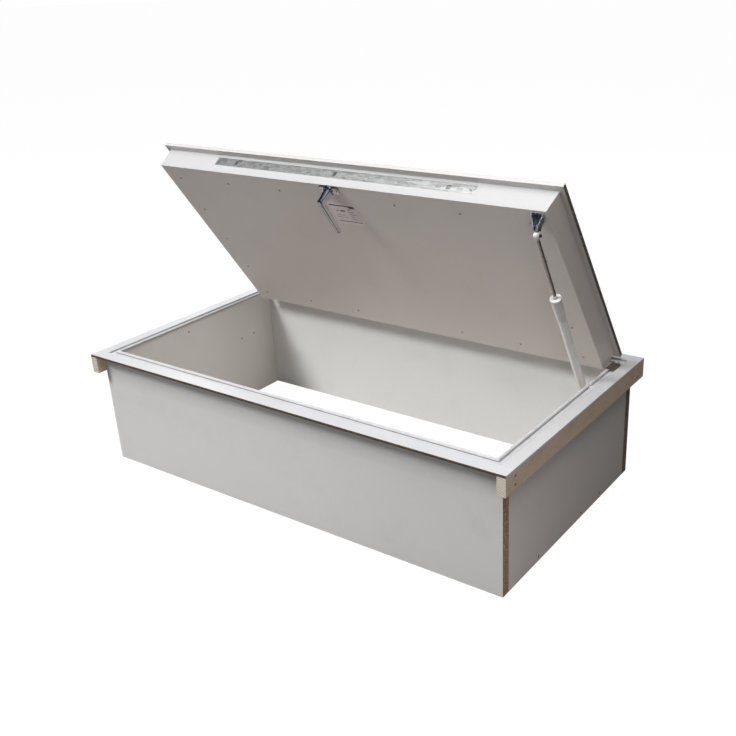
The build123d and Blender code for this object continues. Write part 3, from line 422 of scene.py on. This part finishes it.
materials = {
    "rim_paint": paint("rim_paint", (0.66, 0.665, 0.68), rough=0.36, shade=0.93, speckle=0.93,
                       raw=raw_ends("y", BOARD_HALF_WIDTH, 0.0006), chips=(0.3, 0.3, 0.3)),
    # The right rim board's paint fades into painted shade towards the back.
    "right_board": paint("right_board_paint", (0.66, 0.66, 0.67), rough=0.36, shade=0.93, speckle=0.93,
                         painted_shading=[("y", -0.15, 0.3, 0.97, 0.86)]),
    # The four box panels are one white laminate, each tinted to paint in its light: neutral at front and
    # back, warmer on the sides, darkest on the right. The front panel fades darker to the right (painted
    # light falloff) and towards its top (painted shadow under the rim board).
    "front_panel": paint("front_panel_paint", (0.775, 0.77, 0.76), rough=0.38,
                         raw=raw_ends("x", BOX_HALF_LENGTH, 0.00008), chips=(1.15, 1.15, 1.15),
                         painted_shading=[("x", 0.05, 0.62, 1.0, 0.89), ("z", 0.235, 0.268, 1.0, 0.85),
                                PANEL_TOP_SHADE]),
    "back_panel": paint("back_panel_paint", (0.80, 0.80, 0.785), rough=0.38,
                        raw=raw_ends("x", BOX_HALF_LENGTH, 0.00008), chips=(0.7, 0.66, 0.64),
                        painted_shading=[PANEL_TOP_SHADE]),
    "left_panel": paint("left_panel_paint", (0.83, 0.785, 0.745), rough=0.38,
                        raw=[("inside", BOX_HALF_LENGTH - 0.0005)], chips=CORE_CHIPS_IN_SHADE, painted_shading=[PANEL_TOP_SHADE]),
    # The right panel fades from paler at the front to darker at the back: painted light falloff.
    "right_panel": paint("right_panel_paint", (0.75, 0.70, 0.665), rough=0.38,
                         raw=[("inside", BOX_HALF_LENGTH - 0.0005)], chips=CORE_CHIPS_IN_SHADE,
                         painted_shading=[("y", -0.3, 0.3, 1.14, 0.88), PANEL_TOP_SHADE]),
    # The lid's rails are one white paint, tinted by facing to paint in their light: the front a duller
    # white, the sides and other rails a warmer, paler tint.
    "lid_white": paint("lid_white_paint", (0.58, 0.58, 0.585), rough=0.4, shade=0.97,
                       faces=[((1, 0, 0), LID_SIDE_TINT), ((-1, 0, 0), LID_SIDE_TINT)]),
    "lid_edge": paint("lid_edge_paint", (0.64, 0.63, 0.62), rough=0.4, shade=0.97,
                      raw=raw_ends("x", COVER_HALF_LENGTH, 0.00045), chips=(0.42, 0.47, 0.50)),
    "lid_side": paint("lid_side_paint", LID_SIDE_TINT, rough=0.42, shade=0.9),
    # The underside panel's front edge face takes a neutral grey, painted to match the light on the lid's
    # front.
    "underside": paint("underside_paint", (0.80, 0.735, 0.695), rough=0.34, shade=0.95,
                       faces=[(tuple(-ALONG), (0.56, 0.56, 0.565))]),
    "pine": pine("sawn_pine"),
    "dowel": pine("beech_dowel"),
    "foam": foam("fibre_core", (0.75, 0.70, 0.55)),
    "gasket": rubber("gasket_rubber", (0.66, 0.66, 0.67)),
    "zinc": galvanised("zinc_sheet"),
    "faceplate": galvanised("zinc_faceplate", tint=(0.70, 0.71, 0.71), stretch=(0.6, 1.6, 1.6),
                            spangle=120.0, rough=0.42),
    "clip": galvanised("clip_steel", tint=(0.30, 0.25, 0.22), spangle=160.0, rough=0.4),
    # The bracket's wide, non-metallic pale rim is a painted highlight along its flange edges.
    "bracket": galvanised("zinc_bracket", tint=(0.42, 0.45, 0.53), spangle=90.0, rough=0.2, rim=0.0017,
                          rim_metal=0.0),
    "screw": bright_metal("zinc_screws", (0.60, 0.60, 0.59), 0.28),
    "painted_screw": plastic("painted_screws", (0.40, 0.335, 0.30), rough=0.4),
    "nail": bright_metal("nail_heads", (0.42, 0.33, 0.27), 0.4),
    "steel": bright_metal("bolt_steel", (0.50, 0.50, 0.51), 0.24, grain=(1.0, 3.0, 3.0)),
    "dark_steel": bright_metal("pin_steel", (0.20, 0.17, 0.155), 0.3),
    # The lever's dark tones are painted reflections: dark where it faces along or across the lid, and in
    # lines along its grip.
    "chrome": bright_metal("lever_chrome", (0.93, 0.94, 0.95), 0.07,
                           dark=[(tuple(ALONG), [(0.62, 0.0), (0.87, 0.97)]),
                                 ((1, 0, 0), [(0.3, 0.0), (0.5, 0.95), (0.74, 0.95), (0.93, 0.1)]),
                                 ("width", [(0.1, 0.0), (0.16, 0.85), (0.22, 0.85), (0.28, 0.0),
                                            (0.38, 0.0), (0.43, 0.95), (0.48, 0.95), (0.53, 0.0)])]),
    "rod": bright_metal("rod_steel", (0.50, 0.45, 0.42), 0.14),
    "tube": plastic("tube_enamel", (0.97, 0.955, 0.93), rough=0.22),
    "socket": plastic("socket_plastic", (0.84, 0.84, 0.82), rough=0.34),
    "label": printed_label("sticker"),
}

wears = {
    "rim_paint": ["board_front", "board_back", "board_left"],
    "right_board": ["board_right"],
    "front_panel": ["panel_front"],
    "back_panel": ["panel_back"],
    "left_panel": ["panel_left"],
    "right_panel": ["panel_right"],
    "lid_white": ["lid_rail_front"],
    "lid_edge": ["lid_cover", "lid_lip"],
    "lid_side": ["lid_rail_back", "lid_rail_left", "lid_rail_right"],
    "underside": ["lid_underside_panel"],
    "pine": ["batten_left", "batten_right"],
    "dowel": ["corner_dowels"],
    "foam": ["lid_insulation"],
    "gasket": ["seal_front", "seal_back", "seal_left", "seal_right"],
    "clip": ["seal_clip"],
    "zinc": ["strike_plates", "hinge_frame_leaves", "hinge_lid_leaves", "lock_case",
             "drive_bar_left", "drive_bar_right", "strut_bracket_lower"],
    "faceplate": ["lock_faceplate"],
    "bracket": ["strut_bracket_upper"],
    "screw": ["strike_screws", "hinge_frame_screws", "hinge_lid_screws", "hinge_pins",
              "lid_lip_screws", "faceplate_screws", "rosette_screws", "strut_foot_screws",
              "strut_ball_stud"],
    "painted_screw": ["lid_panel_screws"],
    "nail": ["batten_nails"],
    "dark_steel": ["strut_bracket_pin", "strut_bracket_screws"],
    "steel": ["lock_bolt_left", "lock_bolt_middle", "lock_bolt_right", "handle_spindle", "lock_follower"],
    "chrome": ["handle_lever", "handle_rosette"],
    "rod": ["strut_rod"],
    "tube": ["strut_tube"],
    "socket": ["strut_socket_upper", "strut_sleeve", "strut_socket_lower"],
    "label": ["lid_label"],
}
for look, names in wears.items():
    for name in names:
        mesh = nodes[name].data
        mesh.materials.clear()
        mesh.materials.append(materials[look])

# ---------------------------------------------------------------- detail pieces
# Millimetres in the lid's own axes.
HANDLE_ALONG = -585.7
UNDERSIDE = -60.7
LIP_UNDER = -2.9
CURVE_STEPS = 44
GROOVE_WIDTH = 2.6


class Solid:
    """Points and faces of one closed surface after another."""

    def __init__(self):
        self.points = []
        self.faces = []

    def skin(self, rings):
        """Joins a row of rings of points and closes both ends."""
        start = len(self.points)
        count = len(rings[0])
        for ring in rings:
            self.points.extend(ring)
        for row in range(len(rings) - 1):
            near = start + row * count
            for step in range(count):
                turn = (step + 1) % count
                self.faces.append((near + step, near + turn, near + count + turn, near + count + step))
        self.faces.append(tuple(range(start, start + count)))
        self.faces.append(tuple(range(len(self.points) - count, len(self.points))))

    def piece(self, name, look, body, stands_for, sharp=38):
        """Makes the mesh, lets it ride on a body and stand for the CAD node it redraws."""
        mesh = bpy.data.meshes.new(name)
        mesh.from_pydata([tuple(point) for point in self.points], [], self.faces)
        work = bmesh.new()
        work.from_mesh(mesh)
        bmesh.ops.recalc_face_normals(work, faces=work.faces)
        for face in work.faces:
            face.smooth = True
        for edge in work.edges:
            edge.smooth = edge.calc_face_angle(0.0) < math.radians(sharp)
        work.to_mesh(mesh)
        work.free()
        mesh.materials.append(materials[look])
        shown = bpy.data.objects.new(name, mesh)
        bpy.context.scene.collection.objects.link(shown)
        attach(shown, body)
        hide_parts(stands_for)
        return shown


def circle(centre, side, up, radius, angles):
    return [centre + side * (radius * math.cos(a)) + up * (radius * math.sin(a)) for a in angles]


def even_angles():
    return [2 * math.pi * step / CURVE_STEPS for step in range(CURVE_STEPS)]


def turned(solid, origin, axis, profile):
    """A lathe-turned shape; the profile lists (distance along the axis, radius) in millimetres."""
    side = axis.orthogonal().normalized()
    up = axis.cross(side)
    solid.skin([
        circle(origin + axis * (along / 1000), side, up, radius / 1000, even_angles())
        for along, radius in profile
    ])


def power(value, exponent):
    """Raises the size of a number to a power and keeps its sign."""
    return math.copysign(abs(value) ** exponent, value)


def lever_ring(centre, outward, half_u, half_b, squareness, groove=0.0):
    """A section of the lever, from its middle (along, above) and the way its back faces."""
    ring = []
    for angle in even_angles():
        u = half_u * power(math.cos(angle), 2 / squareness)
        b = half_b * power(math.sin(angle), 2 / squareness)
        if b > 0:
            b -= groove * math.exp(-((u / GROOVE_WIDTH) ** 2))
        else:
            b += 0.8 * groove * math.exp(-((u / GROOVE_WIDTH) ** 2))
        ring.append(lid_point(u, centre[0] + outward[0] * b, centre[1] + outward[1] * b))
    return ring


NECK_ROOT, NECK_END, NECK_TAPER = 11.5, 8.15, 0.0963
NECK_TOP, NECK_ROOT_LEVEL, NECK_RINGS = -62.0, -61.7, 7
ELBOW_ALONG, ELBOW_ABOVE, ELBOW_INSIDE = HANDLE_ALONG + NECK_END + 1.5, -96.5, 1.5
ELBOW_BACK, ELBOW_DROP, ELBOW_POWER, ELBOW_RINGS = 17.8, 13.5, 7, 11
GRIP_MIDDLE = -104.0

rings = []
for step in range(NECK_RINGS):
    level = NECK_TOP + (ELBOW_ABOVE - NECK_TOP) * step / NECK_RINGS
    radius = NECK_ROOT + (level - NECK_ROOT_LEVEL) * NECK_TAPER
    rings.append(lever_ring((HANDLE_ALONG, level), (-1, 0), radius, radius, 2.0 + 0.1 * step))
for step in range(ELBOW_RINGS):
    turn = math.radians(90 * step / (ELBOW_RINGS - 1))
    away = (-math.cos(turn), -math.sin(turn))
    fullness = abs(away[0] / ELBOW_BACK) ** ELBOW_POWER + abs(away[1] / ELBOW_DROP) ** ELBOW_POWER
    reach = fullness ** (-1 / ELBOW_POWER)
    middle = (ELBOW_INSIDE + reach) / 2
    rings.append(lever_ring(
        (ELBOW_ALONG + away[0] * middle, ELBOW_ABOVE + away[1] * middle),
        away,
        NECK_END - 0.065 * step,
        (reach - ELBOW_INSIDE) / 2,
        2.6 + 0.1 * step,
    ))
for along, half_u, half_b, groove in (
    (12, 7.4, 6.0, 0.0),
    (16, 7.3, 6.0, 1.0),
    (22, 7.15, 5.95, 1.5),
    (40, 6.8, 5.9, 1.5),
    (60, 6.35, 5.8, 1.4),
    (80, 5.95, 5.75, 1.3),
    (92, 5.65, 5.7, 1.0),
    (97, 5.5, 5.6, 0.4),
    (100.5, 5.3, 5.3, 0.0),
    (103, 4.6, 4.6, 0.0),
    (104.3, 3.0, 3.1, 0.0),
):
    rings.append(lever_ring((HANDLE_ALONG + along, GRIP_MIDDLE), (0, -1), half_u, half_b, 3.4, groove))
lever = Solid()
lever.skin(rings)
lever.piece("lever", "chrome", "handle", "handle_lever")


def stadium(half_length, radius, inset, along, above):
    """An outline with round ends on the lid's underside, drawn in by inset."""
    ring = []
    for angle in even_angles():
        end = math.copysign(half_length - radius, math.cos(angle))
        reach = radius - inset
        ring.append(lid_point(end + reach * math.cos(angle), along + reach * math.sin(angle), above))
    return ring


rosette = Solid()
rosette.skin([
    stadium(32.0, 11.0, inset, HANDLE_ALONG, UNDERSIDE - rise)
    for inset, rise in ((0.0, 0.0), (0.0, 2.2), (0.25, 3.1), (0.9, 3.75), (1.8, 4.0))
])
turned(rosette, lid_point(0, HANDLE_ALONG, UNDERSIDE), -ABOVE, [
    (0.5, 15.0), (4.6, 14.8), (6.6, 14.5), (7.9, 13.9), (8.7, 13.1), (9.0, 12.3), (8.6, 11.8), (6.0, 11.7),
])
rosette.piece("rosette", "chrome", "lid", "handle_rosette")

# ---------------------------------------------------------------- gas strut
STRUT_TOP = lid_point(560.0, -556.3, -89.9)
STRUT_FOOT = Vector((0.560, 0.240, 0.178))
STRUT_AXIS = (STRUT_FOOT - STRUT_TOP).normalized()

sleeve = Solid()
turned(sleeve, STRUT_TOP, STRUT_AXIS, [
    (194.0, 4.6), (191.6, 4.8), (191.0, 5.6), (191.0, 12.4), (191.5, 13.4), (192.6, 13.9), (195.6, 14.0),
    (196.8, 13.7), (197.6, 12.9), (198.6, 12.5), (226.0, 12.5), (240.0, 12.4), (250.0, 12.1), (256.0, 11.7),
    (260.0, 11.2), (262.0, 10.7), (262.0, 10.55), (250.0, 10.52),
])
sleeve.piece("sleeve", "socket", "strut_cylinder", "strut_sleeve")


# ---------------------------------------------------------------- screws
def cross_outline(arm, half):
    """Twenty-four places round a cross, for a screwdriver's recess."""
    between = (arm + half) / 2
    quarter = [(arm, -half), (arm, 0), (arm, half), (between, half), (half, half), (half, between)]
    outline = []
    for turn in range(4):
        for x, y in quarter:
            for _ in range(turn):
                x, y = -y, x
            outline.append((x, y))
    return outline


def cross_screw(solid, place, out, radius, height, shank, length):
    """A domed head with a cross recess on a pointed shank; sizes in millimetres."""
    side = out.orthogonal().normalized()
    up = out.cross(side)
    outline = cross_outline(0.55, 0.15)
    angles = [math.atan2(y, x) for x, y in outline]

    def cross(scale, level):
        return [
            place + side * (x * scale / 1000) + up * (y * scale / 1000) + out * (level / 1000)
            for x, y in outline
        ]

    profile = [
        (-length, shank * 0.25), (-length + 2.5, shank), (0, shank), (0, radius), (height * 0.3, radius),
        (height * 0.62, radius * 0.93), (height * 0.86, radius * 0.8), (height, radius * 0.64),
    ]
    rings = [circle(place + out * (level / 1000), side, up, r / 1000, angles) for level, r in profile]
    rings.append(cross(radius, height))
    rings.append(cross(radius * 0.8, height * 0.25))
    solid.skin(rings)


def screws(node, look, body, places, out, radius, height, shank, length):
    """Redraws one CAD set of equal screws."""
    solid = Solid()
    for place in places:
        cross_screw(solid, place, out, radius, height, shank, length)
    solid.piece(node + "_detail", look, body, node, sharp=50)


SIDES = (-1, 1)
LIP_FRONT = -614.9
hinge_steps = [x + step for x in (-450, 0, 450) for step in (-24, 0, 24)]
skin_rows = [-557.7 + 124 * row for row in range(5)]
skin_places = [(side * 535, row) for side in SIDES for row in skin_rows]
for column in (-357, -178, 178, 357):
    skin_places += [(column, skin_rows[0]), (column, skin_rows[-1])]
screws("lid_panel_screws", "painted_screw", "lid",
       [lid_point(u, v, UNDERSIDE) for u, v in skin_places], -ABOVE, 3.5, 1.2, 1.75, 20)
screws("lid_lip_screws", "screw", "lid",
       [lid_point(side * 594, LIP_FRONT + 163 + 158 * step, LIP_UNDER)
        for side in SIDES for step in range(3)],
       -ABOVE, 2.7, 0.6, 1.3, 6.5)
screws("hinge_lid_screws", "screw", "lid",
       [lid_point(x, -13, LIP_UNDER) for x in hinge_steps], -ABOVE, 3.0, 0.8, 1.75, 7)
screws("hinge_frame_screws", "screw", "frame",
       [Vector((x / 1000, 0.3375, 0.322)) for x in hinge_steps], Vector((0, 0, 1)), 3.5, 1.4, 1.9, 7.6)
screws("faceplate_screws", "screw", "lid",
       [lid_point(side * 384, -599.7, -24.3) for side in SIDES], -ALONG, 3.5, 0.6, 1.75, 18)
screws("rosette_screws", "screw", "lid",
       [lid_point(side * 24.5, HANDLE_ALONG, UNDERSIDE - 4) for side in SIDES], -ABOVE, 3.3, 1.2, 1.8, 13)
screws("strut_bracket_screws", "dark_steel", "lid",
       [lid_point(x, -585.5, UNDERSIDE - 2.5) for x in (551.5, 568.5)], -ABOVE, 3.0, 1.0, 1.9, 19)
screws("strut_foot_screws", "screw", "frame",
       [Vector((0.597, y, 0.199)) for y in (0.163, 0.217)], Vector((-1, 0, 0)), 4.0, 1.8, 2.1, 14)
screws("strike_screws", "screw", "frame",
       [Vector(((x + side * 23) / 1000, -0.300, 0.3024)) for x in (-325, 0, 325) for side in SIDES],
       Vector((0, 1, 0)), 3.0, 1.5, 1.7, 16)

# ---------------------------------------------------------------- stage
# The floor and the backdrop stay within the hundred metres that any camera sees.
FLOOR_SIZE = 90
BACKDROP_RADIUS = 44
BOUNCE_SIZE = 14
WELL_HALF_X, WELL_HALF_Y = 0.61, 0.31

bpy.ops.mesh.primitive_plane_add(size=FLOOR_SIZE, location=(0, 0, -0.0008))
floor = bpy.context.object
floor.name = "studio_floor"
floor_look = Shader("floor_paper")
floor_tone = floor_look.ramp(floor_look.noise(0.6), [(0.3, 0.06), (0.7, 0.065)])
floor_look.finish(floor_tone, 0.9, Emission_Color=(1, 1, 1, 1), Emission_Strength=0.96)
floor.data.materials.append(floor_look.material)

bpy.ops.mesh.primitive_uv_sphere_add(radius=BACKDROP_RADIUS, segments=96, ring_count=48, location=(0, 0, 0))
backdrop = bpy.context.object
backdrop.name = "studio_backdrop"
backdrop_look = Shader("backdrop_paper")
backdrop_tone = backdrop_look.ramp(backdrop_look.noise(0.02), [(0.3, 0.98), (0.7, 1.0)])
backdrop_look.feed(backdrop_look.bsdf.inputs["Emission Color"], backdrop_tone)
backdrop_look.finish((0, 0, 0), 1.0, Emission_Strength=1.0, Specular_IOR_Level=0.0)
backdrop.data.materials.append(backdrop_look.material)
for set_piece in (floor, backdrop):
    set_piece.visible_diffuse = False
    set_piece.visible_glossy = False
    set_piece.visible_transmission = False
    set_piece.visible_shadow = False

bpy.ops.mesh.primitive_plane_add(size=BOUNCE_SIZE, location=(0, 0, -0.001))
bounce = bpy.context.object
bounce.name = "bounce_floor"
bounce_look = Shader("bounce_paper")
# The paper's colour paints the light on the floor: paler inside the box, a painted pool of light round it,
# and painted shade towards the back right, where the box shades the floor.
paper_x, paper_y, _ = bounce_look.split()
shade = bounce_look.math(
    "ADD", bounce_look.math("MULTIPLY", paper_x, 0.6), bounce_look.math("MULTIPLY", paper_y, 0.5)
)
shade = bounce_look.math("ADD", shade, bounce_look.math("MULTIPLY", bounce_look.noise(1.2), 0.1))
outside_tone = bounce_look.ramp(
    bounce_look.math("ADD", shade, 0.5), [(0.0, (0.335, 0.33, 0.325)), (1.0, (0.115, 0.107, 0.10))]
)
inside = bounce_look.math(
    "MULTIPLY",
    bounce_look.math("LESS_THAN", bounce_look.math("ABSOLUTE", paper_x), WELL_HALF_X),
    bounce_look.math("LESS_THAN", bounce_look.math("ABSOLUTE", paper_y), WELL_HALF_Y),
)
painted_light_pool = bounce_look.ramp(bounce_look.radius(0.5), [(0.62, 1.0), (0.86, 0.12)])
outside_tone = bounce_look.mix(1.0, outside_tone, painted_light_pool, "MULTIPLY")
bounce_tone = bounce_look.mix(inside, outside_tone, (0.60, 0.585, 0.57))
bounce_look.finish(bounce_tone, 0.9)
bounce.data.materials.append(bounce_look.material)
bounce.visible_camera = False

# The room beyond the lamps: a little light, less of it from the right.
world = bpy.data.worlds.new("studio")
bpy.context.scene.world = world
world.use_nodes = True
sky = world.node_tree
background = sky.nodes["Background"]
direction = sky.nodes.new("ShaderNodeTexCoord")
parts = sky.nodes.new("ShaderNodeSeparateXYZ")
sky.links.new(direction.outputs["Generated"], parts.inputs[0])
climb = sky.nodes.new("ShaderNodeMapRange")
climb.inputs["From Min"].default_value = -1.0
sky.links.new(parts.outputs["Z"], climb.inputs["Value"])
fade = sky.nodes.new("ShaderNodeValToRGB")
sky.links.new(climb.outputs[0], fade.inputs[0])
for element, (place, tone) in zip(
    [fade.color_ramp.elements[0], fade.color_ramp.elements[1], fade.color_ramp.elements.new(0.53)],
    [(0.0, (1.0, 0.985, 0.96)), (0.47, (0.96, 0.94, 0.92)), (0.53, (0.10, 0.10, 0.105))],
):
    element.position = place
    element.color = (*tone, 1)
lean = sky.nodes.new("ShaderNodeMapRange")
lean.inputs["From Min"].default_value = -1.0
lean.inputs["To Min"].default_value = 1.15
lean.inputs["To Max"].default_value = 0.5
sky.links.new(parts.outputs["X"], lean.inputs["Value"])
shaded = sky.nodes.new("ShaderNodeVectorMath")
shaded.operation = "SCALE"
sky.links.new(fade.outputs[0], shaded.inputs[0])
sky.links.new(lean.outputs[0], shaded.inputs["Scale"])
sky.links.new(shaded.outputs[0], background.inputs["Color"])
background.inputs["Strength"].default_value = 0.30


def softbox(name, place, target, size, power, tint=(1, 1, 1)):
    light = bpy.data.lights.new(name, "AREA")
    light.shape = "RECTANGLE"
    light.size, light.size_y = size
    light.energy = power
    light.color = tint
    lamp = bpy.data.objects.new(name, light)
    bpy.context.scene.collection.objects.link(lamp)
    lamp.location = place
    lamp.rotation_euler = (Vector(target) - Vector(place)).to_track_quat("-Z", "Y").to_euler()
    return lamp


# The key lights the part softly; only the small lamp in its middle shows in polished metal.
KEY_PLACE = (-2.9, -4.1, 5.4)
KEY_TARGET = (0, 0, 0.35)
key = softbox("key_softbox", KEY_PLACE, KEY_TARGET, (2.0, 2.0), 380)
key.visible_glossy = False
softbox("sparkle", KEY_PLACE, KEY_TARGET, (0.35, 0.35), 12)
softbox("right_softbox", (1.5, -0.9, 3.2), (-0.3, 0, 0.2), (1.4, 1.4), 34)
softbox("top_softbox", (0.0, 0.1, 3.6), (0, 0, 0.3), (2.6, 2.2), 35)
softbox("side_card", (1.5, -0.85, 0.5), (0.6, -0.35, 0.22), (0.5, 0.5), 1.9)
softbox("back_fill", (-2.4, 2.8, 1.8), (0, 0, 0.4), (2.2, 2.2), 34)

# ---------------------------------------------------------------- camera
AZIMUTH, ELEVATION, ROLL = math.radians(35.62), math.radians(23.914), math.radians(-2.3345)
TARGET = Vector((0.10384, 0.11111, 0.22932))
DISTANCE = 2.57119
back = Vector((
    math.sin(AZIMUTH) * math.cos(ELEVATION),
    -math.cos(AZIMUTH) * math.cos(ELEVATION),
    math.sin(ELEVATION),
))
level_right = Vector((0, 0, 1)).cross(back).normalized()
level_up = back.cross(level_right)
right = level_right * math.cos(ROLL) + level_up * math.sin(ROLL)
up = back.cross(right)
camera_data = bpy.data.cameras.new("camera")
camera_data.sensor_width = 36
camera_data.lens = 46.6004
camera_data.shift_x = -0.06533
camera_data.shift_y = 0.01718
camera_data.clip_end = 200
camera = bpy.data.objects.new("camera", camera_data)
bpy.context.scene.collection.objects.link(camera)
camera.matrix_world = Matrix.Translation(TARGET + back * DISTANCE) @ Matrix(
    (right, up, back)
).transposed().to_4x4()
bpy.context.scene.camera = camera
bpy.context.scene.view_settings.view_transform = "Standard"
